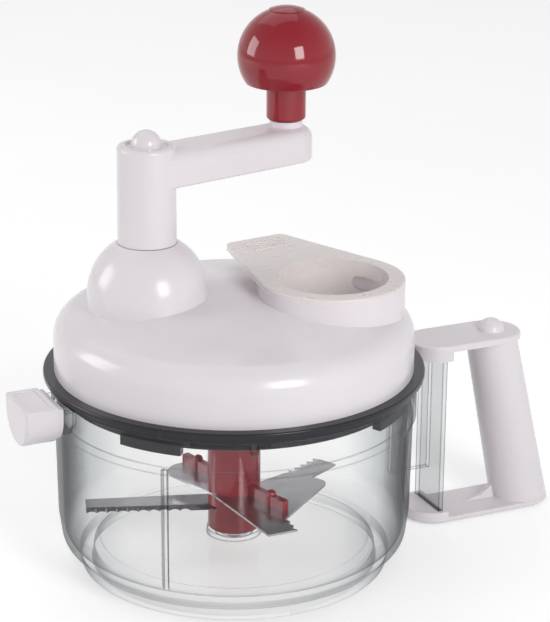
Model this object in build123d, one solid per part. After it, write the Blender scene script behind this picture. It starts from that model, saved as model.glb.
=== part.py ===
"""Hand-crank food chopper: a clear bowl, a bayonet lid with a geared crank, and three blades.

The origin is on the bowl's axis at the table, +Z is up and +X points at the handle. The lid's own
pieces are drawn with the crank's turret towards -X and the feed chute towards +X, and are then turned
by lid_turn. Sizes are in millimetres and angles in degrees.
"""

from build123d import *
import math
import os

# Fits
gap = 0.3  # between pieces that move apart
run = 0.05  # radial clearance of a shaft in its bearing

# Bowl
band_r = 83.65  # outside of the upper band
band_z = 72.8  # underside of the upper band
band_wall = 2.4
band_step = 1.45  # from the band in to the lower body
body_taper = 0.7  # from the body's top in to its bottom
body_wall = 2.6
rim_z = 90.6
foot_inset = 10.1  # from the body's bottom in to the foot ring
foot_wall = 5.0
foot_flare = 0.6
foot_height = 5.6
corner_inset = 1.7  # from the body's bottom in to where the slope above the foot ends
corner_z = 13.2
bottom_corner = 8.0
wall_start_z = 26.0
floor_z = 11.0
floor_inset = 9.4  # from the foot ring in to the floor's disc
floor_step = 1.2
floor_thickness = 3.2
collar_r = 12.8
collar_height = 2.6
inner_rib_width = 2.4
inner_rib_depth = 1.4
inner_rib_turn = -136.3

# Bayonet
lug_count = 4
first_lug_turn = -115.0
bowl_lug_reach = 12.0  # half of a bowl lug's arc
bowl_lug_depth = 2.0
bowl_lug_drop = 4.4  # from the rim down to a bowl lug's underside
bowl_lug_height = 2.0
ring_lug_reach = 10.5
ring_lug_rest = -26.0  # from a bowl lug to the ring lug that goes under it
lock_turn = 20.0
lug_stop_gap = 1.5  # left over when the lid is locked, in degrees
stop_reach = 1.2
stop_drop = 5.0

# Spout neck and its cap
cap_length = 17.3
cap_clear = 0.7  # from the locking ring to the cap
cap_half_width = 14.3
cap_rise = 1.0  # of the cap's top over the rim
cap_height = 19.6
cap_wall = 2.0
neck_wall = 2.2
cap_recess = 0.6
cap_rim = 2.2
cap_band_depth = 0.8
cap_band_length = 2.4
neck_cut = 20.0  # how far the way through the neck is cut into the bowl

# Handle rail of the bowl
rail_stand = 20.15  # from the band out to the rail's middle
rail_half_width = 12.0
rail_thickness = 2.4
rail_fit = 0.1  # round the rail in the handle's sockets
web_thickness = 2.6

# Handle
handle_rise = 1.0  # of the handle's top over the rim
handle_bottom_z = 1.0
handle_half_width = 14.2
top_span = 30.0  # between the centres of the top plate's round ends
bottom_span = 48.8
plate_thickness = 3.0
socket_depth = 7.6
bottom_plate_thickness = 2.6
bottom_socket_depth = 5.6
socket_floor = 2.0
grip_top_r = 12.2
grip_bottom_r = 14.0
handle_edge = 1.2
gusset_thickness = 2.0
gusset_length = 22.0
gusset_height = 14.0
plug_r = 6.6
plug_height = 5.6
plug_stem = 9.0

# Seal and locking ring
seal_height = 1.4
seal_inset = 0.3
flange_overhang = 3.35  # from the band out
flange_height = 2.7
ledge_overhang = 1.65
ledge_drop = 2.4
skirt_depth = 8.0
skirt_wall = 2.2
ring_lug_height = 4.7
ring_lug_play = 0.5  # under a bowl lug
ring_lug_clear = 0.4

# Lid
lid_turn = -23.0
lid_inset = 1.65  # from the band in to the lid's wall
lid_wall = 2.2
lid_wall_height = 15.3
shoulder_r = 11.0
crown_rise = 18.6
register_wall = 2.0
register_drop = 2.6

# Gear train
gear_module = 1.5
gear_teeth = 39
pinion_teeth = 13
pressure_angle = 20.0
backlash = 0.5
tooth_root = 1.2  # below the pitch circle, in modules
tooth_sink = 0.6  # of a tooth's foot below the root circle
tip_relief = 0.86  # how fast a tooth thins to its tip and thickens to its root, in flank slopes
root_relief = 0.84
gear_lift = 8.3  # from the locking ring's top up to the gears
gear_height = 8.0
pinion_extra = 1.0
chamber_wall = 1.8
chamber_gap = 2.2
cover_drop = 5.6  # from the gears down to the cover's underside
cover_thickness = 2.4
cover_screw_r = 1.5
cover_screw_head_r = 2.9
cover_screw_length = 9.0
cover_screw_x = (-62.0, -26.0, 4.0)
cover_boss_r = 3.6

# Turret and crank shaft
turret_r = 27.5
turret_lift = 0.4  # of the turret's centre over the crown
turret_height = 23.7
turret_wall = 2.4
turret_boss_r = 10.5
shaft_r = 4.0
bush_wall = 2.0
bush_length = 16.0
bush_flange_r = 8.4
bush_flange_height = 1.6
hex_flats = 6.4
shaft_drop = 13.5  # from the post's top down to the shaft's
clip_height = 1.2
clip_r = 6.4
shaft_foot = 2.0  # of the shaft below the gear
shaft_seat = 2.0  # how far the round shaft stands above the turret

# Crank
crank_turn = 12.0
crank_length = 77.5
post_r = 13.3
post_top_r = 13.1
post_height = 44.8
arm_height = 16.0
arm_drop = 2.5  # from the post's top down to the arm's
arm_end_r = 12.2
arm_top_round = 6.0
arm_edge = 1.2
post_edge = 1.4
cap_dome_r = 6.9
cap_groove_r = 10.2
cap_groove_depth = 0.9
screw_r = 2.0
screw_head_r = 4.4
screw_head_height = 3.0
screw_depth = 12.0
screw_floor = 4.0

# Knob
ball_r = 22.6
ball_flat_drop = 12.6  # from the ball's centre down to its flat underside
ball_edge = 1.2
stem_r = 9.1
stem_height = 29.6  # up to the ball's centre
stem_lift = 0.5  # over the post's top
stem_edge = 1.4
knob_pin_r = 4.0
knob_pin_rise = 8.4  # over the ball's centre
knob_pin_foot = 3.0  # over the arm's underside
knob_clip_r = 6.2
knob_clip_height = 1.2
knob_bore_r = 7.6
knob_cap_r = 8.2
knob_cap_seat = 3.0
knob_cap_rise = 0.5

# Feed chute and insert
chute_x = 44.0
chute_bore_r = 27.8
chute_wall = 2.2
chute_rim = 5.6  # from the bore out to the collar's outside
chute_rise = 4.7  # of the seat over the crown
chute_depth = 25.3
insert_plate = 2.7
cup_side = 1.7
cup_wall = 1.6
cup_depth = 20.3
tab_turn = 120.0
tab_reach = 68.0
tab_half_width = 16.5
tab_corner = 4.0
collar_tab_reach = 46.0
tab_rib_count = 5
tab_rib_pitch = 3.0
tab_rib_height = 0.6
tab_rib_length = 20.0
slot_turn = 44.0
slot_reach = 14.0  # half of the slot's arc
slot_half_width = 3.5
slot_height = 12.2  # over the cup's underside

# Rotor
driver_r = 9.2
driver_drop = 19.0  # from the gears down to the sleeve's end
driver_journal_r = 4.0
journal_length = 10.0
journal_bush_wall = 2.0
stub_flats = 11.8
stub_length = 11.0
stub_fit = 0.1
hub_r = 12.25
hub_clear = 0.6  # over the collar and under the driver
hub_step_r = 13.4
hub_step_z = 62.0
hub_step_height = 9.0
blade_pin_r = 3.0
blade_pin_top_z = 46.0
blade_pin_foot = 2.4  # in the floor
pin_bore_top_z = 48.0

# Blades
blade_thickness = 1.0
blade_root = 4.0  # from the axis to a blade's inner end
blade_tip_half_width = 7.2
blade_boss_r = 13.0  # of the upper blade, round the hub
tooth_pitch = 4.8
tooth_depth = 1.9
blade_root_half = {"lower": 8.4, "middle": 8.4, "upper": 12.6}
blade_z = {"lower": 22.0, "middle": 25.5, "upper": 32.3}
blade_turn = {"lower": 27.5, "middle": 161.5, "upper": -90.8}
blade_reach = {"lower": 70.5, "middle": 69.0, "upper": 55.4}
blade_teeth = {"lower": 7, "middle": 10, "upper": 3}
wing_reach = 43.0  # from the upper blade's middle line to its wing's far side
wing_start = 43.5
wing_end = 12.0
wing_corner = 5.0
lobe_turn = 205.0  # from the upper blade's middle line to its short round arm
lobe_distance = 28.5
lobe_r = 10.0
finger_turn = 16.5  # from the upper blade's middle line
finger_r = 2.3
finger_height = 7.3
finger_distance = 26.6
finger_block_reach = 36.5
finger_block_height = 4.9
finger_block_width = 3.4

# Worked out from the sizes above
gear_centre = gear_module * (gear_teeth + pinion_teeth) / 2
body_r = band_r - band_step
body_low_r = body_r - body_taper
body_inner_r = body_low_r - body_wall
corner_r = body_low_r - corner_inset
foot_r = body_low_r - foot_inset
floor_disc_r = foot_r - floor_inset
collar_z = floor_z + collar_height
band_inner_r = band_r - band_wall
bowl_lug_z = rim_z - bowl_lug_drop
flange_r = band_r + flange_overhang
ledge_r = band_r + ledge_overhang
flange_bottom_z = rim_z + seal_height
flange_top_z = flange_bottom_z + flange_height
lug_inner_r = band_inner_r - bowl_lug_depth
skirt_r = lug_inner_r - ring_lug_clear
ring_inner_r = skirt_r - skirt_wall
skirt_bottom_z = flange_bottom_z - skirt_depth
cap_inner_x = flange_r + cap_clear
cap_end_x = cap_inner_x + cap_length
cap_top_z = rim_z + cap_rise
cap_bottom_z = cap_top_z - cap_height
neck_half_width = cap_half_width - cap_wall - gap
neck_top_z = cap_top_z - cap_wall - gap
neck_bottom_z = cap_bottom_z + cap_wall + gap
neck_end_x = cap_end_x - cap_wall - gap
rail_x = band_r + rail_stand
handle_top_z = rim_z + handle_rise
inner_end_x = rail_x + rail_thickness / 2
top_outer_x = inner_end_x + top_span
bottom_outer_x = inner_end_x + bottom_span
lid_r = band_r - lid_inset
shoulder_z = flange_top_z + lid_wall_height
crown_z = shoulder_z + crown_rise
gear_z = flange_top_z + gear_lift
cover_z = gear_z - cover_drop
turret_centre_z = crown_z + turret_lift
turret_top_z = turret_centre_z + turret_height
post_top_z = turret_top_z + post_height
shaft_top_z = post_top_z - shaft_drop
arm_top_z = post_top_z - arm_drop
arm_bottom_z = arm_top_z - arm_height
stem_bottom_z = post_top_z + stem_lift
ball_centre_z = stem_bottom_z + stem_height
ball_flat_z = ball_centre_z - ball_flat_drop
knob_pin_top_z = ball_centre_z + knob_pin_rise
chute_r = chute_bore_r + chute_rim
chute_seat_z = crown_z + chute_rise
chute_bottom_z = chute_seat_z - chute_depth
cup_r = chute_bore_r - gap - cup_side
cup_bottom_z = chute_seat_z - cup_depth
slot_z = cup_bottom_z + slot_height
driver_bottom_z = gear_z - driver_drop
hub_shoulder_z = driver_bottom_z - hub_clear
hub_bottom_z = collar_z + hub_clear
grip_top = Vector(top_outer_x, 0, handle_top_z - plate_thickness)
grip_bottom = Vector(bottom_outer_x, 0, handle_bottom_z + bottom_plate_thickness)


def turned(*corners):
    """A solid turned about a vertical axis; each corner is a radius, a height and its rounding."""
    points = [(corner[0], corner[1]) for corner in corners]
    rounding = [corner[2] if len(corner) > 2 else 0.0 for corner in corners]
    outline = FilletPolyline(*points, radius=rounding, close=True)
    return revolve(make_face(Plane.XZ * outline), Axis.Z)


def rod(radius, low, high, x=0.0, y=0.0):
    """A round bar from one height to another."""
    return Pos(x, y, low) * Cylinder(radius, high - low, align=(Align.CENTER, Align.CENTER, Align.MIN))


def tube(outer, inner, low, high, x=0.0, y=0.0):
    """A round bar with a round hole."""
    return rod(outer, low, high, x, y) - rod(inner, low - 1, high + 1, x, y)


def block(low_x, high_x, half_width, low_z, high_z):
    """A box across the XZ plane."""
    middle = ((low_x + high_x) / 2, 0, (low_z + high_z) / 2)
    return Pos(*middle) * Box(high_x - low_x, 2 * half_width, high_z - low_z)


def sector(outer, inner, low, high, first, last):
    """A piece of a ring between two angles about the axis."""
    arc = CenterArc((0, 0), outer, first, last - first)
    back = CenterArc((0, 0), inner, first, last - first)
    edges = [arc, back, Line(arc @ 0, back @ 0), Line(arc @ 1, back @ 1)]
    return Pos(0, 0, low) * extrude(make_face(edges), high - low)


def hexagon(flats, low, high):
    """A six-sided bar, measured across its flats."""
    return Pos(0, 0, low) * extrude(RegularPolygon(flats / 2, 6, major_radius=False), high - low)


def dome_section(radius, wall_z, corner, top_z, foot_z):
    """Half a lid's outline: a wall, a round shoulder and a shallow crown tangent to it."""
    run_in = radius - corner
    rise = wall_z - top_z
    crown = (corner**2 - run_in**2 - rise**2) / (2 * (rise + corner))
    centre_z = top_z - crown
    lean = math.degrees(math.atan2(run_in, wall_z - centre_z))
    shoulder = CenterArc((run_in, wall_z), corner, 0, 90 - lean)
    top = CenterArc((0, centre_z), crown, 90 - lean, lean)
    sides = [
        Line((0, foot_z), (radius, foot_z)),
        Line((radius, foot_z), shoulder @ 0),
        shoulder,
        top,
        Line((0, top_z), (0, foot_z)),
    ]
    return make_face(Plane.XZ * Wire(sides))


def lid_form(inset):
    """The lid's solid form, drawn in from its outside by a wall."""
    section = dome_section(
        lid_r - inset, shoulder_z, shoulder_r - inset, crown_z - inset, flange_top_z
    )
    return revolve(section, Axis.Z)


def turret_form(inset):
    """The ball-shaped gear turret, cut flat on top."""
    ball = Pos(0, 0, turret_centre_z) * Sphere(turret_r - inset)
    base = rod(turret_r - inset, crown_z - 2 * shoulder_r, turret_centre_z)
    keep = rod(turret_r, base.bounding_box().min.Z, turret_top_z - inset)
    return Pos(-gear_centre, 0, 0) * ((ball + base) & keep)


def gear(teeth, low, high, play):
    """A spur gear whose teeth have straight flanks at the pressure angle."""
    pitch_r = gear_module * teeth / 2
    tip_r = pitch_r + gear_module
    root_r = pitch_r - tooth_root * gear_module
    half = math.pi * gear_module / 4 - play / 2
    slope = math.tan(math.radians(pressure_angle))
    tip_half = half - gear_module * slope * tip_relief
    root_half = half + gear_module * slope * root_relief
    tooth = Polygon(
        (root_r - tooth_sink, -root_half),
        (pitch_r, -half),
        (tip_r, -tip_half),
        (tip_r, tip_half),
        (pitch_r, half),
        (root_r - tooth_sink, root_half),
        align=None,
    )
    ring = PolarLocations(0, teeth) * tooth
    return Pos(0, 0, low) * extrude(Circle(root_r) + ring, high - low)


def stadium(first_x, last_x, radius, low, high):
    """A bar with round ends along X."""
    middle = block(first_x, last_x, radius, low, high)
    return middle + rod(radius, low, high, first_x) + rod(radius, low, high, last_x)


def u_section(half_width, top_z, bottom_z, first_x, last_x):
    """A bar along X with a flat top and a half-elliptical underside."""
    depth = top_z - bottom_z
    flat_z = bottom_z + min(half_width, depth * 0.72)
    arc = EllipticalCenterArc(
        (0, flat_z), half_width, flat_z - bottom_z, start_angle=180, arc_size=180
    )
    edges = [
        arc,
        Line((half_width, flat_z), (half_width, top_z)),
        Line((half_width, top_z), (-half_width, top_z)),
        Line((-half_width, top_z), (-half_width, flat_z)),
    ]
    face = make_face(Plane.YZ * Wire(edges))
    return Pos(first_x, 0, 0) * extrude(face, last_x - first_x, dir=(1, 0, 0))


def lug_turns():
    """The angle of each bowl lug."""
    return [first_lug_turn + 360 / lug_count * index for index in range(lug_count)]


def chute_outline(radius, reach, half_width):
    """The chute's circle drawn out to a thumb tab."""
    direction = Rot(0, 0, tab_turn)
    tip = RectangleRounded(2 * tab_corner + 1, 2 * half_width, tab_corner)
    tip = direction * Pos(reach - tab_corner - 0.5, 0, 0) * tip
    body = make_hull((Circle(radius) + tip).edges())
    return Pos(chute_x, 0, 0) * body


def to_lid(shape):
    """Turns a lid piece from the way it is drawn to the way it sits on the bowl."""
    return Rot(0, 0, lid_turn) * shape


def to_crank(shape):
    """Puts a crank piece, drawn about its own axis with the arm along X, on the turret."""
    angle = math.radians(lid_turn)
    place = (-gear_centre * math.cos(angle), -gear_centre * math.sin(angle), 0)
    return Pos(*place) * Rot(0, 0, crank_turn) * shape


# Bowl and what stays with it


def bowl_walls():
    """The turned body of the bowl, with its step, rim, floor and foot ring."""
    foot_in = foot_r - foot_wall
    floor_bottom = floor_z - floor_thickness
    return turned(
        (0, floor_bottom),
        (foot_in - 1, floor_bottom, 0.8),
        (foot_in, 0, 0.6),
        (foot_r, 0, 1.0),
        (foot_r + foot_flare, foot_height, 0.6),
        (corner_r, corner_z, bottom_corner),
        (body_low_r, wall_start_z),
        (body_r, band_z - 0.9),
        (band_r, band_z, 0.5),
        (band_r, rim_z, 0.8),
        (band_inner_r, rim_z, 0.6),
        (band_inner_r, band_z + 2.6, 1.0),
        (body_r - body_wall, band_z + 1.2, 1.0),
        (body_inner_r, floor_z + floor_step + 0.4, 7.0),
        (floor_disc_r + 1.6, floor_z + floor_step, 0.6),
        (floor_disc_r, floor_z, 0.6),
        (0, floor_z),
    )


def bowl_lugs():
    """The lugs inside the rim that hold the lid down, and the stop under each one."""
    lugs = []
    locked = ring_lug_rest + lock_turn + ring_lug_reach + lug_stop_gap
    for turn in lug_turns():
        top = bowl_lug_z + bowl_lug_height
        outer = band_inner_r + 0.2
        first, last = turn - bowl_lug_reach, turn + bowl_lug_reach
        lugs.append(sector(outer, lug_inner_r, bowl_lug_z, top, first, last))
        stop = turn + locked
        lugs.append(sector(outer, lug_inner_r, top - stop_drop, top, stop, stop + 2 * stop_reach))
    return lugs


def neck():
    """The pouring neck's outside, and the way through it."""
    outside = u_section(neck_half_width, neck_top_z, neck_bottom_z, -neck_end_x, -band_inner_r - 1)
    inside = u_section(
        neck_half_width - neck_wall, neck_top_z - neck_wall, neck_bottom_z + neck_wall, -neck_end_x - 1,
        neck_cut - band_inner_r,
    )
    return outside, inside


def rail():
    """The rail that the handle holds: a plate on a web that runs down the bowl's side."""
    top_z = handle_top_z - plate_thickness - gap
    low_z = handle_bottom_z + socket_floor
    half = rail_thickness / 2
    plate = block(rail_x - half, rail_x + half, rail_half_width, low_z, top_z)
    web_low_z = wall_start_z
    web = block(body_inner_r + 1, rail_x, web_thickness / 2, web_low_z, rim_z - seal_height - ledge_drop)
    return plate + web


def bowl():
    """The clear bowl in one piece."""
    outside, inside = neck()
    inner_rib = Rot(0, 0, inner_rib_turn) * block(
        body_inner_r - inner_rib_depth, body_inner_r + 1, inner_rib_width / 2, floor_z + 4, band_z
    )
    collar = tube(collar_r, hub_r - 3.2, floor_z - 1, collar_z)
    boss = rod(hub_r - 5.6, floor_z - 1, collar_z)
    void = rod(band_inner_r - 0.3, floor_z, rim_z + 1)
    shape = bowl_walls() + (outside - void) + (rail() - void)
    shape += inner_rib + collar + boss
    for lug in bowl_lugs():
        shape += lug
    shape -= inside
    return shape - rod(blade_pin_r, floor_z - blade_pin_foot, collar_z + 1)


def blade_pin():
    """The steel pin that the hub turns on."""
    pin = rod(blade_pin_r, floor_z - blade_pin_foot, blade_pin_top_z)
    return chamfer(pin.edges().group_by(Axis.Z)[-1], blade_pin_r / 4)


def spout_cap():
    """The cap over the pouring neck, with a recessed top and a plain band behind it."""
    body = u_section(cap_half_width, cap_top_z, cap_bottom_z, -cap_end_x, -cap_inner_x - cap_band_length)
    body = fillet(body.faces().sort_by(Axis.X)[0].edges(), 1.2)
    band = u_section(
        cap_half_width - cap_band_depth,
        cap_top_z - cap_band_depth,
        cap_bottom_z + cap_band_depth,
        -cap_inner_x - cap_band_length,
        -cap_inner_x,
    )
    hollow = u_section(
        cap_half_width - cap_wall, cap_top_z - cap_wall, cap_bottom_z + cap_wall, -cap_end_x + cap_wall, 0
    )
    pocket_length = cap_end_x - cap_inner_x - cap_band_length - 2 * cap_rim
    pocket = RectangleRounded(pocket_length, 2 * (cap_half_width - cap_rim), 2.0)
    middle_x = -(cap_end_x + cap_inner_x + cap_band_length) / 2
    pocket = Pos(middle_x, 0, cap_top_z - cap_recess) * extrude(pocket, 2 * cap_recess)
    return body + band - hollow - pocket


def handle():
    """The handle: two plates with sockets for the rail, joined by a leaning grip."""
    radius = handle_half_width
    top_low = handle_top_z - plate_thickness
    bottom_top = handle_bottom_z + bottom_plate_thickness
    top = stadium(inner_end_x, top_outer_x, radius, top_low, handle_top_z)
    top = fillet(top.edges().group_by(Axis.Z)[-1], handle_edge)
    bottom = stadium(inner_end_x, bottom_outer_x, radius, handle_bottom_z, bottom_top)
    bottom = fillet(bottom.edges().group_by(Axis.Z)[0], handle_edge)
    socket_end = rail_x + rail_thickness / 2 + 2.2
    keep = block(inner_end_x - radius, socket_end, radius, handle_bottom_z, handle_top_z)
    top_block = rod(radius, handle_top_z - socket_depth, top_low + 1, inner_end_x) & keep
    bottom_block = rod(radius, bottom_top - 1, handle_bottom_z + bottom_socket_depth, inner_end_x) & keep
    axis = grip_bottom - grip_top
    grip_plane = Plane(origin=grip_top, x_dir=(0, 1, 0), z_dir=axis)
    far_plane = Plane(origin=grip_bottom, x_dir=(0, 1, 0), z_dir=axis)
    over = 4.0
    start = grip_plane.offset(-over) * Circle(grip_top_r)
    end = far_plane.offset(over) * Circle(grip_bottom_r)
    span = stadium(inner_end_x, bottom_outer_x, 2 * radius, handle_bottom_z + 1, handle_top_z - 1)
    grip = loft([start, end]) & span
    gusset_x = grip_bottom.X - grip_bottom_r + 3
    gusset = Polygon(
        (gusset_x, bottom_top - 0.5),
        (gusset_x - gusset_length, bottom_top - 0.5),
        (gusset_x - gusset_length * 0.45, bottom_top + gusset_height * 0.16),
        (gusset_x - gusset_length * 0.16, bottom_top + gusset_height * 0.5),
        (gusset_x - 2, bottom_top + gusset_height),
        (gusset_x, bottom_top + gusset_height),
        align=None,
    )
    gusset = extrude(Plane.XZ * gusset, gusset_thickness / 2, both=True)
    shape = top + bottom + top_block + bottom_block + grip + gusset
    bore = rod(plug_r - 1.2, handle_top_z - plug_stem, handle_top_z + 1, top_outer_x)
    return shape - bore - rail_room()


def rail_room():
    """The room for the bowl's rail in the handle's two sockets, and for its web in the upper one."""
    half = rail_thickness / 2 + rail_fit
    low_z = handle_bottom_z + socket_floor
    top_z = handle_top_z - plate_thickness - gap
    plate = block(rail_x - half, rail_x + half, rail_half_width + rail_fit, low_z, top_z)
    slot_x = inner_end_x - handle_half_width - 1
    slot = block(slot_x, rail_x, web_thickness / 2 + gap, wall_start_z, top_z)
    return plate + slot


def handle_plug():
    """The domed plug in the top of the grip."""
    crown = (plug_r**2 + plug_height**2) / (2 * plug_height)
    ball = Pos(0, 0, handle_top_z + plug_height - crown) * Sphere(crown)
    dome = ball & rod(plug_r, handle_top_z, handle_top_z + plug_height + 1)
    stem = rod(plug_r - 1.2, handle_top_z - plug_stem, handle_top_z)
    return Pos(top_outer_x, 0, 0) * (dome + stem)


# Seal and lid


def rim_seal():
    """The soft ring on the bowl's rim."""
    return tube(band_r - seal_inset, band_inner_r + seal_inset, rim_z, flange_bottom_z)


def locking_ring():
    """The dark ring: a flange, a ledge outside the rim, and a skirt with lugs inside it."""
    ring = turned(
        (ring_inner_r, flange_top_z),
        (flange_r, flange_top_z, 0.8),
        (flange_r, flange_bottom_z, 0.5),
        (ledge_r, flange_bottom_z, 0.3),
        (ledge_r, flange_bottom_z - ledge_drop, 0.4),
        (band_r + gap + 0.1, flange_bottom_z - ledge_drop),
        (band_r + gap + 0.1, flange_bottom_z),
        (skirt_r, flange_bottom_z),
        (skirt_r, skirt_bottom_z, 0.5),
        (ring_inner_r, skirt_bottom_z),
    )
    outer = band_inner_r - gap - 0.1
    for turn in lug_turns():
        middle = turn + ring_lug_rest
        first, last = middle - ring_lug_reach, middle + ring_lug_reach
        top = bowl_lug_z - ring_lug_play
        ring += sector(outer, ring_inner_r, top - ring_lug_height, top, first, last)
    return ring


def chamber(inset, low, high):
    """The room around the two gears."""
    big = gear_module * (gear_teeth + 2) / 2 + chamber_gap - inset
    small = gear_module * (pinion_teeth + 2) / 2 + chamber_gap - inset
    outline = make_hull((Pos(-gear_centre, 0, 0) * Circle(big) + Circle(small)).edges())
    return Pos(0, 0, low) * extrude(outline, high - low)


def cover_screw_places():
    """Where the gear cover's screws are, in the lid's own layout."""
    big = gear_module * (gear_teeth + 2) / 2 + chamber_gap + cover_boss_r
    places = []
    for x in cover_screw_x:
        away = math.sqrt(max(big**2 - (x + gear_centre) ** 2, (cover_boss_r * 4) ** 2))
        places += [(x, away), (x, -away)]
    return places


def cover_outline():
    """The gear cover's outline, with an ear at each screw."""
    big = gear_module * (gear_teeth + 2) / 2 + chamber_gap + chamber_wall
    small = gear_module * (pinion_teeth + 2) / 2 + chamber_gap + chamber_wall
    shape = make_hull((Pos(-gear_centre, 0, 0) * Circle(big) + Circle(small)).edges())
    for place in cover_screw_places():
        shape += Pos(*place, 0) * Circle(cover_boss_r)
    return shape


def lid_shell():
    """The white lid: dome, gear turret, chute collar, gear chamber and screw bosses."""
    cover_top = cover_z + cover_thickness
    collar = Pos(0, 0, shoulder_z) * extrude(
        chute_outline(chute_r, collar_tab_reach, tab_half_width), chute_seat_z - shoulder_z
    )
    outside = lid_form(0) + turret_form(0) + collar
    room = turret_form(turret_wall)
    hollow = lid_form(lid_wall) + room + rod(lid_r - lid_wall, flange_top_z - 1, flange_top_z)
    shape = outside - hollow
    inside = lid_form(lid_wall / 2)
    walls = chamber(-chamber_wall, cover_top, crown_z) - chamber(0, cover_top - 1, crown_z + 1)
    chute = tube(chute_bore_r + chute_wall, chute_bore_r, chute_bottom_z, chute_seat_z - 1, chute_x)
    bosses = [rod(cover_boss_r, cover_top, crown_z, *place) for place in cover_screw_places()]
    shape += ((walls & inside) - turret_form(turret_wall / 2))
    for boss in bosses:
        shape += boss & inside
    shape += chute & (inside + collar)
    bush_r = shaft_r + run + bush_wall
    post_low = turret_top_z - turret_wall - bush_length
    shape += rod(turret_boss_r, post_low, turret_top_z - turret_wall / 2, -gear_centre)
    journal_r = driver_journal_r + run + journal_bush_wall
    journal_low = gear_z + gear_height + pinion_extra + 0.6
    shape += rod(journal_r + 2.2, journal_low, crown_z - lid_wall / 2) & inside
    register_r = ring_inner_r - gap / 3
    register = tube(register_r, register_r - register_wall, flange_top_z - register_drop, flange_top_z + 3)
    lip = tube(lid_r - lid_wall / 2, register_r - register_wall, flange_top_z, flange_top_z + 2.4)
    shape += register + lip
    shape -= rod(chute_bore_r, chute_bottom_z - 1, chute_seat_z + 1, chute_x)
    shape -= rod(bush_r, post_low - 1, turret_top_z + 1, -gear_centre)
    shape -= rod(journal_r, journal_low - 1, journal_low + journal_length)
    for place in cover_screw_places():
        shape -= rod(cover_screw_r, cover_top - 1, cover_z + cover_screw_length, *place)
    return to_lid(shape)


def gear_cover():
    """The plate that closes the gear chamber from below."""
    plate = Pos(0, 0, cover_z) * extrude(cover_outline(), cover_thickness)
    plate -= rod(driver_r + gap, cover_z - 1, cover_z + cover_thickness + 1)
    for place in cover_screw_places():
        plate -= rod(cover_screw_r + 0.2, cover_z - 1, cover_z + cover_thickness + 1, *place)
    return to_lid(plate)


def cover_screws():
    """The screws that hold the gear cover."""
    screws = Part()
    for place in cover_screw_places():
        head = rod(cover_screw_head_r, cover_z - 1.6, cover_z, *place)
        shank = rod(cover_screw_r, cover_z, cover_z + cover_screw_length - 1, *place)
        cross = Pos(place[0], place[1], cover_z - 1.6) * (Box(3.4, 0.8, 1.6) + Box(0.8, 3.4, 1.6))
        screws += head + shank - cross
    return to_lid(screws)


def shaft_bush():
    """The flanged bush that the crank shaft turns in."""
    outer = shaft_r + run + bush_wall
    low = turret_top_z - turret_wall - bush_length
    bush = tube(outer, shaft_r + run, low, turret_top_z)
    flange = tube(bush_flange_r, shaft_r + run, low - bush_flange_height, low)
    return to_lid(Pos(-gear_centre, 0, 0) * (bush + flange))


def pinion_bush():
    """The bush that the driver's upper journal turns in."""
    low = gear_z + gear_height + pinion_extra + 0.6
    outer = driver_journal_r + run + journal_bush_wall
    return to_lid(tube(outer, driver_journal_r + run, low, low + journal_length))


def feed_insert():
    """The lift-out cup in the feed chute, with its slot and ribbed thumb tab."""
    top_z = chute_seat_z + insert_plate
    plate = Pos(0, 0, chute_seat_z) * extrude(
        chute_outline(chute_r, tab_reach, tab_half_width), insert_plate
    )
    plate = fillet(plate.edges().group_by(Axis.Z)[-1], insert_plate / 3)
    outer = chute_bore_r - gap
    cup = rod(outer, cup_bottom_z, chute_seat_z + 1, chute_x)
    cup = fillet(cup.edges().group_by(Axis.Z)[0], 6.0)
    inner = rod(cup_r, cup_bottom_z + cup_wall, top_z + 1, chute_x)
    inner = fillet(inner.edges().group_by(Axis.Z)[0], 5.0)
    low, high = slot_z - slot_half_width, slot_z + slot_half_width
    first, last = slot_turn - slot_reach, slot_turn + slot_reach
    slot = sector(outer + 1, cup_r - 2, low, high, first, last)
    for turn in (first, last):
        drill = Rot(0, 90, 0) * Cylinder(slot_half_width, 8)
        slot += Rot(0, 0, turn) * Pos(cup_r, 0, slot_z) * drill
    shape = plate + cup - inner - Pos(chute_x, 0, 0) * slot
    tab = Pos(chute_x, 0, top_z) * Rot(0, 0, tab_turn)
    for index in range(tab_rib_count):
        x = tab_reach - tab_corner - 2 - index * tab_rib_pitch
        rib = Box(1.0, tab_rib_length, 2 * tab_rib_height)
        shape += tab * Pos(x, 0, 0) * rib
    return to_lid(shape)


# Crank and knob


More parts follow.
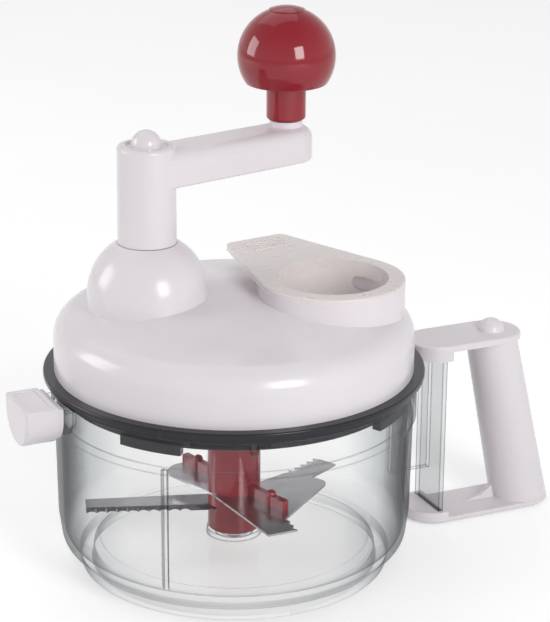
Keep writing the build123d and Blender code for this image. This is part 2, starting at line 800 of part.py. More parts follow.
def crank_arm():
    """The crank's post and its arm in one piece."""
    low = turret_top_z + gap
    post = turned((0, low), (post_r, low), (post_top_r, post_top_z), (0, post_top_z))
    post = fillet(post.edges().group_by(Axis.Z)[-1], post_edge)
    outline = make_hull((Circle(post_top_r - 0.3) + Pos(crank_length, 0, 0) * Circle(arm_end_r)).edges())
    arm = Pos(0, 0, arm_bottom_z) * extrude(outline, arm_top_z - arm_bottom_z)
    arm = fillet(arm.edges().group_by(Axis.Z)[-1], arm_top_round)
    arm = fillet(arm.edges().group_by(Axis.Z)[0], arm_edge)
    seat = rod(stem_r - stem_edge, arm_top_z - 3, stem_bottom_z - gap, crank_length)
    shape = post + arm + seat
    groove = turned(
        (cap_dome_r, post_top_z + 1), (cap_dome_r, post_top_z - cap_groove_depth, 0.3),
        (cap_groove_r - 1, post_top_z - cap_groove_depth, 0.6), (cap_groove_r + 1, post_top_z + 1),
    )
    head_z = shaft_top_z + screw_floor
    shape -= groove
    shape -= rod(cap_dome_r, post_top_z - cap_groove_depth, post_top_z + 1)
    shape -= rod(shaft_r, low - 1, turret_top_z + shaft_seat)
    shape -= hexagon(hex_flats, low - 1, shaft_top_z)
    shape -= rod(screw_r + 0.3, shaft_top_z - 1, head_z + 1)
    shape -= rod(screw_head_r + 0.8, head_z, post_top_z + 1)
    return to_crank(shape - rod(knob_pin_r, arm_bottom_z + knob_pin_foot, post_top_z + 2, crank_length))


def crank_cap():
    """The domed cap that hides the crank's screw."""
    head_z = shaft_top_z + screw_floor + screw_head_height + 0.6
    base_z = post_top_z - cap_groove_depth
    dome = Pos(0, 0, post_top_z) * Sphere(cap_dome_r)
    dome &= rod(cap_dome_r, post_top_z, post_top_z + cap_dome_r)
    plug = rod(screw_head_r + 0.8, head_z, base_z)
    return to_crank(dome + plug + rod(cap_dome_r, base_z, post_top_z))


def crank_screw():
    """The screw that holds the arm on the shaft."""
    head_z = shaft_top_z + screw_floor
    head = rod(screw_head_r, head_z, head_z + screw_head_height)
    head -= Pos(0, 0, head_z + screw_head_height) * (Box(5.2, 1.1, 3) + Box(1.1, 5.2, 3))
    return to_crank(head + rod(screw_r, shaft_top_z - screw_depth, head_z))


def crank_shaft():
    """The shaft from the drive gear up to the hexagon in the crank's post."""
    round_part = rod(shaft_r, gear_z - shaft_foot, turret_top_z + shaft_seat)
    shape = round_part + hexagon(hex_flats, turret_top_z + 1, shaft_top_z)
    groove_z = gear_z - clip_height
    shape -= tube(shaft_r + 1, shaft_r - 0.8, groove_z, groove_z + clip_height)
    return to_crank(shape - rod(screw_r, shaft_top_z - screw_depth, shaft_top_z + 1))


def shaft_clip():
    """The spring clip under the drive gear."""
    groove_z = gear_z - clip_height
    clip = tube(clip_r, shaft_r - 0.8, groove_z, groove_z + clip_height)
    return to_crank(clip - block(0, clip_r + 1, 1.6, groove_z - 1, gear_z + 1))


def drive_gear():
    """The large gear, in mesh with the driver's pinion."""
    teeth = gear(gear_teeth, gear_z, gear_z + gear_height, backlash)
    web = turned(
        (9, gear_z + gear_height + 1), (9, gear_z + 5, 0.6),
        (24, gear_z + 5, 0.6), (24, gear_z + gear_height + 1),
    )
    low = turret_top_z - turret_wall - bush_length - bush_flange_height - gap
    hub = rod(bush_flange_r, gear_z, low)
    shape = teeth - web + hub - rod(shaft_r, gear_z - 1, low + 1)
    return to_crank(Rot(0, 0, lid_turn - crank_turn) * shape)


def knob_pin():
    """The steel pin that the knob turns on."""
    shape = rod(knob_pin_r, arm_bottom_z + knob_pin_foot, knob_pin_top_z)
    groove_z = knob_pin_top_z - 3
    shape -= tube(knob_pin_r + 1, knob_pin_r - 0.9, groove_z, groove_z + knob_clip_height)
    return to_crank(Pos(crank_length, 0, 0) * shape)


def knob_clip():
    """The clip that keeps the knob on its pin."""
    groove_z = knob_pin_top_z - 3
    clip = tube(knob_clip_r, knob_pin_r - 0.9, groove_z, groove_z + knob_clip_height)
    clip -= block(0, knob_clip_r + 1, 1.8, groove_z - 1, groove_z + knob_clip_height + 1)
    return to_crank(Pos(crank_length, 0, 0) * clip)


def knob():
    """The red ball, flat underneath, on its stem."""
    ball = (Pos(0, 0, ball_centre_z) * Sphere(ball_r)) & rod(ball_r, ball_flat_z, ball_centre_z + ball_r)
    ball = fillet(ball.edges().group_by(Axis.Z)[0], ball_edge)
    stem = turned(
        (0, stem_bottom_z), (stem_r, stem_bottom_z, stem_edge),
        (stem_r, ball_flat_z + 1), (0, ball_flat_z + 1),
    )
    seat_z = ball_centre_z + math.sqrt(ball_r**2 - knob_cap_r**2) - knob_cap_seat
    shape = ball + stem
    shape -= rod(knob_pin_r + run, stem_bottom_z - 1, knob_pin_top_z)
    shape -= rod(knob_bore_r, knob_pin_top_z - 3 - gap, ball_centre_z + ball_r + 1)
    shape -= rod(knob_cap_r, seat_z, ball_centre_z + ball_r + 1)
    return to_crank(Pos(crank_length, 0, 0) * shape)


def knob_cap():
    """The round plug in the top of the ball."""
    seat_z = ball_centre_z + math.sqrt(ball_r**2 - knob_cap_r**2) - knob_cap_seat
    dome = Pos(0, 0, ball_centre_z + knob_cap_rise) * Sphere(ball_r)
    return to_crank(Pos(crank_length, 0, 0) * (dome & rod(knob_cap_r, seat_z, ball_centre_z + ball_r + 1)))


# Rotor


def drive_pinion():
    """The driver: a pinion with a journal above and a hexagonal socket below."""
    top = gear_z + gear_height + pinion_extra
    low = gear_z - pinion_extra
    half_pitch = 180 / pinion_teeth
    teeth = Rot(0, 0, 180 + half_pitch) * gear(pinion_teeth, low, top, backlash)
    sleeve = rod(driver_r, driver_bottom_z, low)
    journal = rod(driver_journal_r, top, top + journal_length)
    socket = hexagon(stub_flats + 2 * stub_fit, driver_bottom_z - 1, hub_shoulder_z + stub_length + 1)
    return to_lid(teeth + sleeve + journal - socket)


def finger():
    """One upright finger on a rib that reaches out from the hub."""
    rib = block(hub_r - 2, finger_block_reach, finger_block_width / 2, 0, finger_block_height)
    bar = rod(finger_r, 0, finger_height, finger_distance)
    return rib + fillet(bar.edges().group_by(Axis.Z)[-1], finger_r * 0.9)


def blade(name):
    """A flat blade with teeth along the outer part of one edge; the upper one has a wing and a round arm."""
    reach = blade_reach[name]
    tip_y = blade_tip_half_width
    root_y = blade_root_half[name]
    points = [(blade_root, -root_y), (reach, -tip_y), (reach, tip_y)]
    for index in range(blade_teeth[name]):
        x = reach - (index + 0.5) * tooth_pitch
        edge = tip_y + (root_y - tip_y) * (reach - x) / (reach - blade_root)
        points.append((x, edge - tooth_depth))
        points.append((x - tooth_pitch / 2, edge))
    points.append((blade_root, root_y))
    outline = Polygon(*points, align=None)
    if name == "upper":
        far = (-wing_end / 2, wing_reach - wing_end)
        wing = Polygon((blade_root, 0), (wing_start, tip_y - 1), (wing_end, wing_reach), far, align=None)
        wing = fillet(wing.vertices().sort_by(Axis.Y)[-2:], wing_corner)
        lobe = Rot(0, 0, lobe_turn) * Pos(lobe_distance, 0, 0) * Circle(lobe_r)
        outline += wing
        outline += make_hull((Circle(blade_boss_r) + lobe).edges())
        outline -= Circle(blade_root)
    return Rot(0, 0, blade_turn[name]) * Pos(0, 0, blade_z[name]) * extrude(outline, blade_thickness)


def blade_hub():
    """The red hub, with a hexagonal stub on top and two fingers over the upper blade."""
    shape = rod(hub_r, hub_bottom_z, hub_shoulder_z)
    shape = fillet(shape.edges().group_by(Axis.Z)[0], 0.8)
    shape += rod(hub_step_r, hub_step_z, hub_step_z + hub_step_height)
    shape += Rot(0, 0, lid_turn) * hexagon(stub_flats, hub_shoulder_z - 1, hub_shoulder_z + stub_length)
    for turn in (finger_turn, finger_turn + 180):
        base = Pos(0, 0, blade_z["upper"] + blade_thickness)
        shape += Rot(0, 0, blade_turn["upper"] + turn) * base * finger()
    for name in blade_z:
        shape -= blade(name)
    return shape - rod(blade_pin_r + run, hub_bottom_z - 1, pin_bore_top_z)


def main():
    """Builds every piece and writes one file for each."""
    pieces = {
        "bowl": bowl(),
        "blade_pin": blade_pin(),
        "spout_cap": spout_cap(),
        "handle": handle(),
        "handle_plug": handle_plug(),
        "rim_seal": rim_seal(),
        "locking_ring": locking_ring(),
        "lid_shell": lid_shell(),
        "gear_cover": gear_cover(),
        "cover_screws": cover_screws(),
        "shaft_bush": shaft_bush(),
        "pinion_bush": pinion_bush(),
        "feed_insert": feed_insert(),
        "crank_arm": crank_arm(),
        "crank_cap": crank_cap(),
        "crank_screw": crank_screw(),
        "crank_shaft": crank_shaft(),
        "shaft_clip": shaft_clip(),
        "drive_gear": drive_gear(),
        "knob_pin": knob_pin(),
        "knob_clip": knob_clip(),
        "knob": knob(),
        "knob_cap": knob_cap(),
        "drive_pinion": drive_pinion(),
        "blade_hub": blade_hub(),
    }
    for name in blade_z:
        pieces[f"blade_{name}"] = blade(name)
    os.makedirs("parts", exist_ok=True)
    for name, shape in pieces.items():
        export_step(shape, f"parts/{name}.step")


main()
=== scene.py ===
"""A hand-crank food chopper, dressed: finishes on its frame, ground blades, and a soft pale studio.

Lengths are in metres in the frame's own axes: +Z up the bowl's axis, +X at the handle.
"""

import math

import bpy
import numpy as np
from bpy.props import FloatProperty, FloatVectorProperty, IntProperty, PointerProperty
from mathutils import Euler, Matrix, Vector


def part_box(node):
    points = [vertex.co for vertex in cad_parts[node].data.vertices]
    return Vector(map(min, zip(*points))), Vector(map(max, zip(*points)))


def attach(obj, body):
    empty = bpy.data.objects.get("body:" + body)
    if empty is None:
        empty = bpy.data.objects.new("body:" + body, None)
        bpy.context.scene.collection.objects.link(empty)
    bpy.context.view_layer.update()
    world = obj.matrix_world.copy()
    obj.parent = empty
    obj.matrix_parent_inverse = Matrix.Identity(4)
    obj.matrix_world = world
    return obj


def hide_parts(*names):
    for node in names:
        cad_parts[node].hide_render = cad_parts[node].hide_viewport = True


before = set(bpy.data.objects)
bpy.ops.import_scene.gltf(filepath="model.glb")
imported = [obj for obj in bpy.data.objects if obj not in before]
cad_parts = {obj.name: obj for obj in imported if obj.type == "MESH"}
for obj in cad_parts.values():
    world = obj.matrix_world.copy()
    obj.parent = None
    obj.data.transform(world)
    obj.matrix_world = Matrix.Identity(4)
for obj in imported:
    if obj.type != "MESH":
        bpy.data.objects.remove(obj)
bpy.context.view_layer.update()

bl_info = {
    "name": "Hand-crank food chopper",
    "version": (1, 0, 0),
    "blender": (4, 5, 0),
    "location": "3D View > Sidebar > Chopper",
    "description": "Finishes, blades and studio for a hand-crank food chopper",
    "category": "Object",
}

MM = 0.001

# Clear plastic: how far a wall turns away, and the colour that it then lets through, darker towards
# grazing: painted shade that stands in for the dark surroundings the wall mirrors
CLEAR_PAINTED_SHADES = (
    (0.00, (0.996, 0.996, 0.996)),
    (0.28, (0.970, 0.972, 0.972)),
    (0.50, (0.860, 0.870, 0.875)),
    (0.80, (0.360, 0.370, 0.380)),
)
# Level faces get no painted shade and stay clear.
CLEAR_LEVEL = (0.99, 0.99, 0.99)  # let through by level faces
# Painted shade along the clear plastic's edges, standing in for the dark surroundings seen bent through
# thick edges.
CLEAR_PAINTED_EDGE_WIDTH = 1.5 * MM  # how far in from an edge it is darker
CLEAR_PAINTED_EDGE_SHADE = 0.22  # share let through right at an edge
CLEAR_GLOSS = (0.014, 0.35)  # share of mirror, face on and edge on
CLEAR_SHINE = (0.86, 0.87, 0.88)

# Lamps: angle from the camera's side in degrees, height over the aim, width, length and power in watts
LAMPS = {
    "lamp_left": (94.0, 0.42, 0.6, 0.7, 6.0),
    "lamp_front": (-32.0, 0.5, 0.5, 0.65, 9.5),
    "lamp_top": (160.0, 2.2, 2.2, 2.2, 9.0),
}
LAMP_AIM = (0.02, 0.0, 0.12)
LAMP_DISTANCE = 1.3  # along the floor

# Long blades: turn about the axis in degrees, reach in millimetres and number of teeth
LONG_BLADES = {"lower": (27.5, 70.5, 7), "middle": (161.5, 69.0, 10)}


# Settings


def colour(label, about, default):
    """A colour property."""
    return FloatVectorProperty(
        name=label, description=about, default=default, subtype="COLOR", size=3, min=0.0, max=1.0
    )


def length(label, about, default):
    """A length property in metres."""
    return FloatProperty(name=label, description=about, default=default, unit="LENGTH")


class StageSettings(bpy.types.PropertyGroup):
    """Floor, sky, lamps and camera."""

    floor_size: length("Floor size", "Width of the square floor", 12.0)
    floor_tone: FloatProperty(name="Floor tone", description="Grey of the floor", default=0.8)
    floor_lift: FloatProperty(name="Floor lift", description="Glow that whitens the floor", default=0.42)
    sky_level: FloatProperty(name="Sky level", description="Light from all round", default=0.42)
    sky_overhead: FloatProperty(name="Sky overhead", description="Sky mirrored from above", default=0.5)
    camera_place: FloatVectorProperty(
        name="Camera place", description="Where the camera stands",
        default=(-0.399264, -0.896763, 0.461808), subtype="TRANSLATION", precision=5,
    )
    camera_turn: FloatVectorProperty(
        name="Camera turn", description="How the camera is turned",
        default=(math.radians(70.7898), math.radians(-0.3953), math.radians(-24.9389)), subtype="EULER",
    )
    camera_lens: FloatProperty(name="Lens", description="Focal length in millimetres", default=132.7656)


class FinishSettings(bpy.types.PropertyGroup):
    """Colours of the finishes."""

    white: colour("White plastic", "Lid, crank and handle", (0.80, 0.755, 0.79))
    cream: colour("Warm white plastic", "Feed cup", (0.80, 0.745, 0.735))
    red: colour("Red plastic", "Knob and hub", (0.29, 0.003, 0.014))
    slate: colour("Dark plastic", "Locking ring", (0.017, 0.017, 0.024))
    gear: colour("Gear plastic", "Gears", (0.72, 0.70, 0.64))
    steel: colour("Steel", "Pins, shaft and screws", (0.62, 0.62, 0.63))
    blade: colour("Blade steel", "Blades", (0.42, 0.41, 0.43))
    brass: colour("Brass", "Bushes", (0.60, 0.42, 0.16))
    rubber: colour("Rubber", "Rim seal", (0.26, 0.27, 0.29))


class BladeSettings(bpy.types.PropertyGroup):
    """Sizes of the two long blades."""

    root: length("Root", "From the axis to a blade's inner end", 4.0 * MM)
    tip_half: length("Tip half-width", "Half of the width at the tip", 7.2 * MM)
    root_half: length("Root half-width", "Half of the width at the root", 8.4 * MM)
    tooth_pitch: length("Tooth pitch", "From one tooth to the next", 4.8 * MM)
    tooth_depth: length("Tooth depth", "Depth of a scallop", 2.1 * MM)
    tooth_point: FloatProperty(name="Tooth point", description="Lower is more pointed", default=0.7)
    bevel: length("Bevel", "Width of the ground edge", 2.6 * MM)
    edge: length("Edge", "Thickness left at the ground edge", 0.12 * MM)
    samples: IntProperty(name="Samples", description="Mesh columns in one tooth", default=14)


# Materials


class Graph:
    """A node tree that is filled a node at a time."""

    def __init__(self, tree):
        self.tree = tree
        tree.nodes.clear()

    def add(self, kind, inputs=None, **settings):
        """Adds a node; an input that is a socket is linked, any other is set."""
        node = self.tree.nodes.new(kind)
        for name, value in settings.items():
            setattr(node, name, value)
        for key, value in (inputs or {}).items():
            socket = node.inputs[key]
            if isinstance(value, bpy.types.NodeSocket):
                self.tree.links.new(value, socket)
            elif socket.type == "RGBA" and len(value) == 3:
                socket.default_value = (*value, 1.0)
            else:
                socket.default_value = value
        return node

    def noise(self, coords, scale, detail=2.0, roughness=0.5):
        """Soft noise from 0 to 1."""
        inputs = {"Vector": coords, "Scale": scale, "Detail": detail, "Roughness": roughness}
        return self.add("ShaderNodeTexNoise", inputs).outputs["Fac"]

    def spread(self, value, low, high):
        """Maps a noise's middle range on to low to high."""
        inputs = {"Value": value, "From Min": 0.3, "From Max": 0.7, "To Min": low, "To Max": high}
        return self.add("ShaderNodeMapRange", inputs).outputs["Result"]

    def tone(self, value, base, change):
        """The base colour, darker and lighter by a share that follows a value."""
        dark = tuple(part * (1 - change) for part in base)
        light = tuple(min(1.0, part * (1 + change)) for part in base)
        return self.blend(value, dark, light)

    def blend(self, value, first, second):
        """Goes from one colour to another with a value; the mix node's colour inputs are 6 and 7."""
        node = self.add("ShaderNodeMix", data_type="RGBA")
        self.tree.links.new(value, node.inputs["Factor"])
        for place, shade in ((6, first), (7, second)):
            if isinstance(shade, bpy.types.NodeSocket):
                self.tree.links.new(shade, node.inputs[place])
            else:
                node.inputs[place].default_value = (*shade, 1.0)
        return node.outputs[2]

    def bump(self, height, distance, strength=1.0, normal=None):
        """Raises the surface by a height map."""
        node = self.add("ShaderNodeBump", {"Height": height, "Distance": distance, "Strength": strength})
        if normal is not None:
            self.tree.links.new(normal, node.inputs["Normal"])
        return node.outputs["Normal"]

    def output(self, shader, kind="ShaderNodeOutputMaterial"):
        """Ends the tree."""
        self.add(kind, {"Surface": shader})


def new_material(name):
    """An empty material and its graph."""
    material = bpy.data.materials.new(name)
    material.use_nodes = True
    return material, Graph(material.node_tree)


def moulded(name, base, roughness, change=0.02, grain=900.0, grain_height=0.004 * MM,
            wave=28.0, wave_height=0.05 * MM, constants=None):
    """Moulded plastic: slow tone changes, patchy gloss, a fine grain and a slight waviness."""
    material, graph = new_material(name)
    coords = graph.add("ShaderNodeTexCoord").outputs["Object"]
    slow = graph.spread(graph.noise(coords, wave, 3.0), 0.0, 1.0)
    fine = graph.noise(coords, grain, 2.0)
    gloss = graph.spread(graph.noise(coords, wave * 5, 4.0, 0.6), roughness * 0.8, roughness * 1.25)
    normal = graph.bump(graph.noise(coords, wave, 1.0), wave_height)
    normal = graph.bump(fine, grain_height, normal=normal)
    inputs = {"Base Color": graph.tone(slow, base, change), "Roughness": gloss, "Normal": normal}
    inputs.update(constants or {})
    graph.output(graph.add("ShaderNodeBsdfPrincipled", inputs).outputs[0])
    return material


def turned_metal(name, base, roughness, groove=2600.0):
    """Turned or ground metal: fine rings that cross the Z axis, with uneven gloss."""
    material, graph = new_material(name)
    coords = graph.add("ShaderNodeTexCoord").outputs["Object"]
    squeezed = graph.add("ShaderNodeMapping", {"Vector": coords, "Scale": (0.04, 0.04, 1.0)}).outputs[0]
    rings = graph.noise(squeezed, groove, 2.0)
    patches = graph.spread(graph.noise(coords, 120.0, 3.0), 0.0, 1.0)
    inputs = {
        "Base Color": graph.tone(patches, base, 0.08),
        "Roughness": graph.spread(rings, roughness * 0.75, roughness * 1.3),
        "Normal": graph.bump(rings, 0.01 * MM),
        "Metallic": 1.0,
    }
    graph.output(graph.add("ShaderNodeBsdfPrincipled", inputs).outputs[0])
    return material


def brushed_steel(name, base, roughness):
    """Blade steel: long brushed lines, faint stains and uneven gloss."""
    material, graph = new_material(name)
    coords = graph.add("ShaderNodeTexCoord").outputs["Object"]
    stretched = graph.add("ShaderNodeMapping", {"Vector": coords, "Scale": (0.03, 1.0, 1.0)}).outputs[0]
    lines = graph.noise(stretched, 2600.0, 3.0, 0.6)
    stains = graph.spread(graph.noise(coords, 90.0, 4.0, 0.6), 0.0, 1.0)
    inputs = {
        "Base Color": graph.tone(stains, base, 0.10),
        "Roughness": graph.spread(lines, roughness * 0.7, roughness * 1.35),
        "Normal": graph.bump(lines, 0.006 * MM),
        "Metallic": 1.0,
    }
    graph.output(graph.add("ShaderNodeBsdfPrincipled", inputs).outputs[0])
    return material


def clear_walls_painted_shade(graph, facing, plain):
    """What upright and level faces of the clear plastic let through: upright walls get painted shade,
    darker the more they turn away, standing in for the dark surroundings they mirror; level faces stay
    light.
    """
    ramp = graph.add("ShaderNodeValToRGB", {"Fac": facing})
    elements = ramp.color_ramp.elements
    while len(elements) < len(CLEAR_PAINTED_SHADES):
        elements.new(0.5)
    for element, (place, shade) in zip(elements, CLEAR_PAINTED_SHADES):
        element.position = place
        element.color = (*shade, 1.0)
    tilt = graph.add("ShaderNodeSeparateXYZ", {"Vector": plain}).outputs["Z"]
    tilt = graph.add("ShaderNodeMath", {0: tilt}, operation="ABSOLUTE").outputs[0]
    level = graph.add("ShaderNodeMapRange", {"Value": tilt, "From Min": 0.6, "From Max": 0.9})
    return graph.blend(level.outputs["Result"], ramp.outputs["Color"], CLEAR_LEVEL)


def clear_edges(graph, plain):
    """1 on the clear plastic's faces, falling to its darkest along their edges: painted shade that
    stands in for the dark surroundings seen bent through the thick edges.
    """
    rounded = graph.add("ShaderNodeBevel", {"Radius": CLEAR_PAINTED_EDGE_WIDTH}, samples=6).outputs["Normal"]
    agree = graph.add("ShaderNodeVectorMath", {0: rounded, 1: plain}, operation="DOT_PRODUCT")
    inputs = {"Value": agree.outputs["Value"], "From Min": 0.75, "From Max": 0.99}
    inputs["To Min"] = CLEAR_PAINTED_EDGE_SHADE
    return graph.add("ShaderNodeMapRange", inputs).outputs["Result"]


def clear_plastic(name):
    """Clear moulded plastic: see-through face on, with painted shade at edges and where it turns away,
    and shiny there from a real mirror layer.
    """
    material, graph = new_material(name)
    coords = graph.add("ShaderNodeTexCoord").outputs["Object"]
    wave = graph.bump(graph.noise(coords, 22.0, 1.0), 0.12 * MM)
    facing = graph.add("ShaderNodeLayerWeight", {"Blend": 0.5, "Normal": wave}).outputs["Facing"]
    plain = graph.add("ShaderNodeNewGeometry").outputs["Normal"]
    inputs = {0: clear_walls_painted_shade(graph, facing, plain), "Scale": clear_edges(graph, plain)}
    # Painted shade: the colour let through is darkened where walls turn away and along edges.
    painted_shade_tint = graph.add("ShaderNodeVectorMath", inputs, operation="SCALE").outputs["Vector"]
    through = graph.add("ShaderNodeBsdfTransparent", {"Color": painted_shade_tint}).outputs[0]
    power = graph.add("ShaderNodeMath", {0: facing, 1: 4.0}, operation="POWER").outputs[0]
    inputs = {"Value": power, "To Min": CLEAR_GLOSS[0], "To Max": CLEAR_GLOSS[1]}
    share = graph.add("ShaderNodeMapRange", inputs).outputs["Result"]
    patches = graph.spread(graph.noise(coords, 60.0, 3.0), 0.0, 1.0)
    inputs = {
        "Base Color": graph.tone(patches, CLEAR_SHINE, 0.02),
        "Roughness": graph.spread(graph.noise(coords, 300.0, 3.0), 0.03, 0.07),
        "Normal": wave,
        "Metallic": 1.0,
    }
    gloss = graph.add("ShaderNodeBsdfPrincipled", inputs).outputs[0]
    graph.output(graph.add("ShaderNodeMixShader", {0: share, 1: through, 2: gloss}).outputs[0])
    return material


def material_for(slot):
    """The finish of one of the record's material slots, made once."""
    made = bpy.data.materials.get(f"finish_{slot}")
    if made:
        return made
    tones = bpy.context.scene.chopper_finish
    deep, dull = {"Specular IOR Level": 0.55}, {"Specular IOR Level": 0.32}
    fine, finest = 0.001 * MM, 0.0005 * MM
    makers = {
        "clear_plastic": clear_plastic,
        "white_plastic": lambda name: moulded(name, tones.white, 0.2, 0.015, grain_height=fine),
        "warm_white_plastic": lambda name: moulded(name, tones.cream, 0.3, 0.02, grain_height=finest),
        "red_plastic": lambda name: moulded(
            name, tones.red, 0.09, 0.06, grain_height=finest, wave_height=0.02 * MM, constants=deep
        ),
        "dark_plastic": lambda name: moulded(
            name, tones.slate, 0.22, 0.08, wave_height=0.03 * MM, constants=dull
        ),
        "gear_plastic": lambda name: moulded(name, tones.gear, 0.45, 0.03, 1400.0, 0.01 * MM),
        "seal_rubber": lambda name: moulded(name, tones.rubber, 0.6, 0.05, 1600.0, 0.02 * MM),
        "steel": lambda name: turned_metal(name, tones.steel, 0.26),
        "bush_brass": lambda name: turned_metal(name, tones.brass, 0.3),
        "blade_steel": lambda name: brushed_steel(name, tones.blade, 0.2),
    }
    return makers[slot](f"finish_{slot}")


def dress(slot, *nodes):
    """Gives CAD nodes the finish of a slot."""
    for node in nodes:
        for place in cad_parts[node].material_slots:
            place.material = material_for(slot)


# Meshes


def add_piece(name, points, faces, slot, body, replaced):
    """Makes a closed mesh from arrays, with its finish, body and the node that it stands for."""
    mesh = bpy.data.meshes.new(name)
    mesh.from_pydata(points.tolist(), [], faces.tolist())
    mesh.update()
    piece = bpy.data.objects.new(name, mesh)
    bpy.context.scene.collection.objects.link(piece)
    mesh.materials.append(material_for(slot))
    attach(piece, body)
    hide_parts(replaced)


def closed_plate(top, bottom):
    """Joins two grids of the same shape into a closed plate: both faces and the four walls."""
    rows, columns = top.shape[:2]
    points = np.concatenate([top.reshape(-1, 3), bottom.reshape(-1, 3)])
    index = np.arange(rows * columns).reshape(rows, columns)
    upper = np.stack([index[:-1, :-1], index[1:, :-1], index[1:, 1:], index[:-1, 1:]], axis=-1)
    upper = upper.reshape(-1, 4)
    lower = upper[:, ::-1] + rows * columns
    border = np.concatenate([index[0, :-1], index[:-1, -1], index[-1, :0:-1], index[:0:-1, 0]])
    after = np.roll(border, -1)
    walls = np.stack([border, after, after + rows * columns, border + rows * columns], axis=-1)
    return points, np.concatenate([upper, lower, walls])


def blade_surface(settings, reach, teeth, thickness):
    """Top and bottom grids of a long blade.

    Along the blade x goes from the root to the tip. Across it y goes from the plain back to the toothed
    edge, which lies at half - depth * |sin(pi * (reach - x) / pitch)| ** point over the toothed length.
    The top falls from the full thickness to the edge's over the bevel's width.
    """
    toothed = reach - teeth * settings.tooth_pitch
    inner = np.linspace(settings.root, toothed, 12, endpoint=False)
    outer = np.linspace(toothed, reach, teeth * settings.samples + 1)
    x = np.concatenate([inner, outer])[:, None]
    share = (reach - x) / (reach - settings.root)
    half = settings.tip_half + (settings.root_half - settings.tip_half) * share
    wave = np.abs(np.sin(np.pi * (reach - x) / settings.tooth_pitch)) ** settings.tooth_point
    edge = half - settings.tooth_depth * wave * (x > toothed)
    start = half - settings.tooth_depth - settings.bevel
    flat = np.linspace(0.0, 1.0, 6)[None, :]
    ground = np.linspace(0.0, 1.0, 6)[None, 1:]
    y = np.concatenate([-half + (start + half) * flat, start + (edge - start) * ground], axis=1)
    fall = np.concatenate([np.zeros_like(flat), ground], axis=1) * np.ones_like(x)
    x = x * np.ones_like(y)
    top = np.stack([x, y, thickness - (thickness - settings.edge) * fall], axis=-1)
    bottom = np.stack([x, y, np.zeros_like(y)], axis=-1)
    return top, bottom


def turn_about_axis(points, angle):
    """Turns points about the Z axis."""
    cosine, sine = math.cos(angle), math.sin(angle)
    turn = np.array([[cosine, sine, 0], [-sine, cosine, 0], [0, 0, 1]])
    return points @ turn


# Operators


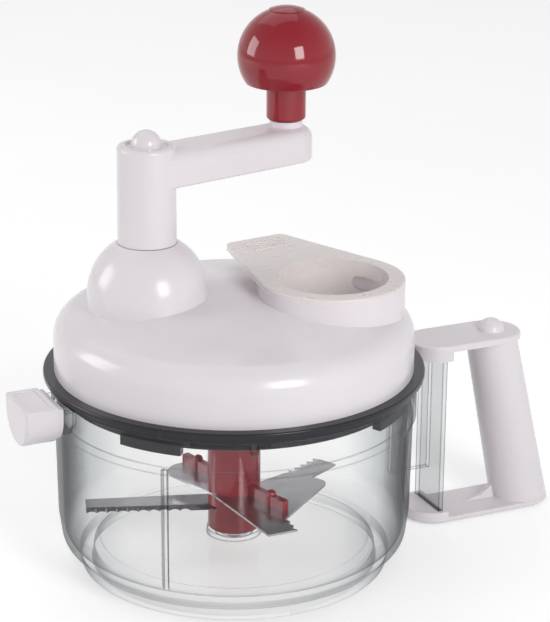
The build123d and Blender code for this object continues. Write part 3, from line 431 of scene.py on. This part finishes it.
class CHOPPER_OT_stage(bpy.types.Operator):
    """Makes the floor, the sky, the lamps and the camera"""

    bl_idname = "chopper.stage"
    bl_label = "Stage"

    def execute(self, context):
        settings = context.scene.chopper_stage
        self.floor(context, settings)
        self.sky(context, settings)
        for name, (angle, height, width, tall, power) in LAMPS.items():
            self.lamp(context, settings, name, angle, height, (width, tall), power)
        self.camera(context, settings)
        scene = context.scene
        scene.view_settings.view_transform = "Standard"
        scene.cycles.transparent_max_bounces = 48
        return {"FINISHED"}

    def seen(self, graph):
        """1 for rays from the camera, a mirror or glass, else 0."""
        path = graph.add("ShaderNodeLightPath")
        both = graph.add(
            "ShaderNodeMath", {0: path.outputs["Is Camera Ray"], 1: path.outputs["Is Glossy Ray"]},
            operation="MAXIMUM",
        )
        inputs = {0: both.outputs[0], 1: path.outputs["Is Transmission Ray"]}
        return graph.add("ShaderNodeMath", inputs, operation="MAXIMUM").outputs[0]

    def floor(self, context, settings):
        """A pale floor whose soft mottle shows only close by."""
        half = settings.floor_size / 2
        corners = [(-half, -half, 0), (half, -half, 0), (half, half, 0), (-half, half, 0)]
        mesh = bpy.data.meshes.new("floor")
        mesh.from_pydata(corners, [], [(0, 1, 2, 3)])
        floor = bpy.data.objects.new("floor", mesh)
        context.scene.collection.objects.link(floor)
        material, graph = new_material("pale_floor")
        coords = graph.add("ShaderNodeTexCoord").outputs["Object"]
        patches = graph.spread(graph.noise(coords, 6.0, 2.0), 0.0, 1.0)
        tone = (settings.floor_tone,) * 3
        matt = graph.add("ShaderNodeBsdfDiffuse", {"Color": graph.tone(patches, tone, 0.01)}).outputs[0]
        strength = graph.add(
            "ShaderNodeMath", {0: self.seen(graph), 1: settings.floor_lift}, operation="MULTIPLY"
        ).outputs[0]
        glow = graph.add("ShaderNodeEmission", {"Strength": strength}).outputs[0]
        graph.output(graph.add("ShaderNodeAddShader", {0: matt, 1: glow}).outputs[0])
        mesh.materials.append(material)

    def sky(self, context, settings):
        """White to the eye and greyer overhead in a mirror, soft grey as a light."""
        world = bpy.data.worlds.new("pale_sky")
        world.use_nodes = True
        graph = Graph(world.node_tree)
        direct = graph.add("ShaderNodeLightPath").outputs["Is Camera Ray"]
        way = graph.add("ShaderNodeTexCoord").outputs["Generated"]
        height = graph.add("ShaderNodeSeparateXYZ", {"Vector": way}).outputs["Z"]
        overhead = graph.add(
            "ShaderNodeMapRange", {"Value": height, "To Min": 1.0, "To Max": settings.sky_overhead}
        ).outputs["Result"]
        looked_at = graph.add("ShaderNodeMath", {0: direct, 1: overhead}, operation="MAXIMUM").outputs[0]
        strength = graph.add(
            "ShaderNodeMapRange",
            {"Value": self.seen(graph), "To Min": settings.sky_level, "To Max": looked_at},
        ).outputs["Result"]
        sky = graph.add("ShaderNodeBackground", {"Color": (1.0, 1.0, 1.0), "Strength": strength})
        graph.output(sky.outputs[0], "ShaderNodeOutputWorld")
        context.scene.world = world

    def lamp(self, context, settings, name, angle, height, size, power):
        """A soft rectangular lamp, placed by its angle from the camera's side."""
        aim = Vector(LAMP_AIM)
        away = Vector(settings.camera_place) - aim
        turn = math.atan2(away.y, away.x) - math.radians(angle)
        data = bpy.data.lights.new(name, "AREA")
        data.shape = "RECTANGLE"
        data.size, data.size_y = size
        data.energy = power
        lamp = bpy.data.objects.new(name, data)
        out_x, out_y = LAMP_DISTANCE * math.cos(turn), LAMP_DISTANCE * math.sin(turn)
        lamp.location = aim + Vector((out_x, out_y, height))
        lamp.rotation_euler = (aim - lamp.location).to_track_quat("-Z", "Y").to_euler()
        context.scene.collection.objects.link(lamp)

    def camera(self, context, settings):
        """The camera at the photograph's place."""
        data = bpy.data.cameras.new("camera")
        data.lens = settings.camera_lens
        camera = bpy.data.objects.new("camera", data)
        camera.location = settings.camera_place
        camera.rotation_euler = Euler(settings.camera_turn)
        context.scene.collection.objects.link(camera)
        context.scene.camera = camera


class CHOPPER_OT_bowl(bpy.types.Operator):
    """Finishes the clear bowl, its pin and the rim seal"""

    bl_idname = "chopper.bowl"
    bl_label = "Bowl"

    def execute(self, context):
        dress("clear_plastic", "bowl")
        dress("steel", "blade_pin")
        dress("seal_rubber", "rim_seal")
        return {"FINISHED"}


class CHOPPER_OT_handle(bpy.types.Operator):
    """Finishes the handle, its plug and the spout cap"""

    bl_idname = "chopper.handle"
    bl_label = "Handle and spout cap"

    def execute(self, context):
        dress("white_plastic", "handle", "handle_plug", "spout_cap")
        return {"FINISHED"}


class CHOPPER_OT_lid(bpy.types.Operator):
    """Finishes the lid, its locking ring and the gear cover"""

    bl_idname = "chopper.lid"
    bl_label = "Lid"

    def execute(self, context):
        dress("white_plastic", "lid_shell", "gear_cover")
        dress("dark_plastic", "locking_ring")
        return {"FINISHED"}


class CHOPPER_OT_feed_insert(bpy.types.Operator):
    """Finishes the feed cup"""

    bl_idname = "chopper.feed_insert"
    bl_label = "Feed cup"

    def execute(self, context):
        dress("warm_white_plastic", "feed_insert")
        return {"FINISHED"}


class CHOPPER_OT_gear_train(bpy.types.Operator):
    """Finishes the gears, bushes, shaft, clips and screws"""

    bl_idname = "chopper.gear_train"
    bl_label = "Gear train"

    def execute(self, context):
        dress("gear_plastic", "drive_gear", "drive_pinion")
        dress("bush_brass", "shaft_bush", "pinion_bush")
        dress("steel", "crank_shaft", "crank_screw", "shaft_clip", "cover_screws")
        dress("steel", "knob_pin", "knob_clip")
        return {"FINISHED"}


class CHOPPER_OT_crank(bpy.types.Operator):
    """Finishes the crank's arm and cap"""

    bl_idname = "chopper.crank"
    bl_label = "Crank"

    def execute(self, context):
        dress("white_plastic", "crank_arm", "crank_cap")
        return {"FINISHED"}


class CHOPPER_OT_knob(bpy.types.Operator):
    """Finishes the ball knob, its plug and the red hub"""

    bl_idname = "chopper.knob"
    bl_label = "Knob and hub"

    def execute(self, context):
        dress("red_plastic", "knob", "knob_cap", "blade_hub")
        return {"FINISHED"}


class CHOPPER_OT_blades(bpy.types.Operator):
    """Makes the two long blades with ground, scalloped edges, and finishes the upper one"""

    bl_idname = "chopper.blades"
    bl_label = "Blades"

    def execute(self, context):
        settings = context.scene.chopper_blade
        for name, (turn, reach, teeth) in LONG_BLADES.items():
            node = f"blade_{name}"
            low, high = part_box(node)
            top, bottom = blade_surface(settings, reach * MM, teeth, high.z - low.z)
            points, faces = closed_plate(top, bottom)
            points = turn_about_axis(points, math.radians(turn)) + np.array([0.0, 0.0, low.z])
            add_piece(f"ground_{node}", points, faces, "blade_steel", "rotor", node)
        dress("blade_steel", "blade_upper")
        return {"FINISHED"}


class CHOPPER_PT_panel(bpy.types.Panel):
    """Lists the steps that dress the chopper"""

    bl_label = "Food chopper"
    bl_idname = "CHOPPER_PT_panel"
    bl_space_type = "VIEW_3D"
    bl_region_type = "UI"
    bl_category = "Chopper"

    def draw(self, context):
        for operator in OPERATORS:
            self.layout.operator(operator.bl_idname)
        for group in GROUPS:
            settings = getattr(context.scene, group)
            box = self.layout.box()
            for name in settings.__annotations__:
                box.prop(settings, name)


OPERATORS = (
    CHOPPER_OT_stage,
    CHOPPER_OT_bowl,
    CHOPPER_OT_handle,
    CHOPPER_OT_lid,
    CHOPPER_OT_feed_insert,
    CHOPPER_OT_gear_train,
    CHOPPER_OT_crank,
    CHOPPER_OT_knob,
    CHOPPER_OT_blades,
)
GROUPS = {
    "chopper_stage": StageSettings,
    "chopper_finish": FinishSettings,
    "chopper_blade": BladeSettings,
}


def register():
    """Registers the settings, the operators and the panel."""
    for name, group in GROUPS.items():
        bpy.utils.register_class(group)
        setattr(bpy.types.Scene, name, PointerProperty(type=group))
    for operator in OPERATORS:
        bpy.utils.register_class(operator)
    bpy.utils.register_class(CHOPPER_PT_panel)


def unregister():
    """Removes what register added."""
    bpy.utils.unregister_class(CHOPPER_PT_panel)
    for operator in reversed(OPERATORS):
        bpy.utils.unregister_class(operator)
    for name, group in GROUPS.items():
        delattr(bpy.types.Scene, name)
        bpy.utils.unregister_class(group)


def main():
    """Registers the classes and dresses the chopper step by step."""
    register()
    for operator in OPERATORS:
        family, step = operator.bl_idname.split(".")
        getattr(getattr(bpy.ops, family), step)()


if __name__ == "__main__":
    main()
